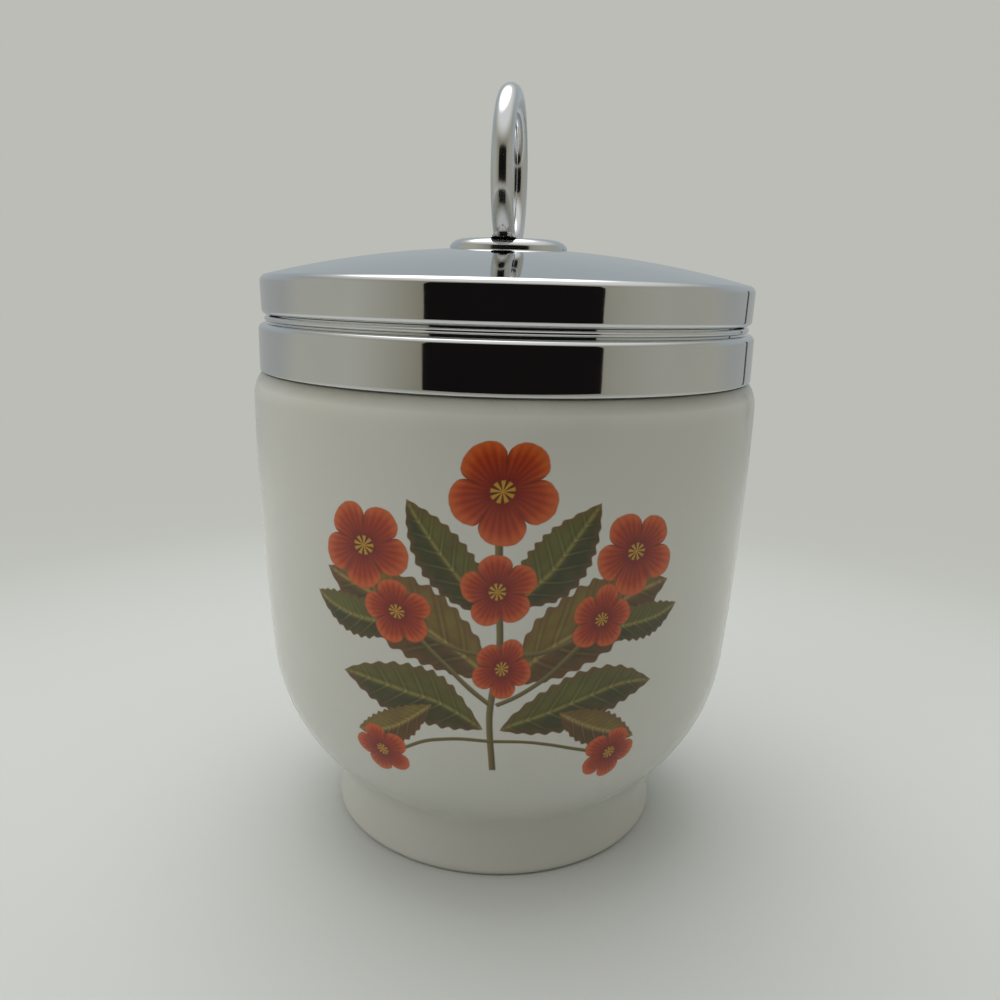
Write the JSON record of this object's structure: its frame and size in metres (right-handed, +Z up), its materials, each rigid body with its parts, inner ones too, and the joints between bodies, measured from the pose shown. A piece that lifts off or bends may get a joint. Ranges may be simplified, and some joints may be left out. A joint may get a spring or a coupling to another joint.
{
  "type": "egg coddler",
  "caption": "Porcelain egg coddler: a footed cup with a metal collar and a screw-on domed metal lid with a lifting ring.",
  "frame": {"origin": "on the table, under the middle of the foot ring", "axes": "+Z up along the cup's axis; the side seen in the picture faces -Y; +X to the right"},
  "size_m": [0.0718, 0.0718, 0.1064],
  "materials": {
    "porcelain": "glossy warm white glaze with a printed posy",
    "cement": "matt grey cement",
    "collar_metal": "polished plate",
    "lid_metal": "polished plate",
    "ring_metal": "polished plate",
    "fixing_metal": "plain turned metal"
  },
  "bodies": {
    "cup": {"porcelain_cup": "porcelain", "collar_cement": "cement", "threaded_collar": "collar_metal"},
    "lid_carrier": {"inner_washer": "fixing_metal"},
    "lid": {"lid_cap": "lid_metal", "ring_flange": "ring_metal", "lifting_ring": "ring_metal", "ring_nut": "fixing_metal"}
  },
  "joints": [
    {"name": "lid_rise", "type": "slide", "parent": "cup", "child": "lid_carrier", "axis": [0, 0, 1], "range_m": [0, 0.0101]},
    {"name": "lid_turn", "type": "hinge", "parent": "lid_carrier", "child": "lid", "pos_m": [0, 0, 0.083], "axis": [0, 0, 1], "range_deg": [0, 1440]}
  ],
  "couplings": [
    {"joint": "lid_rise", "follows": "lid_turn", "m_per_rad": 0.00039789}
  ]
}
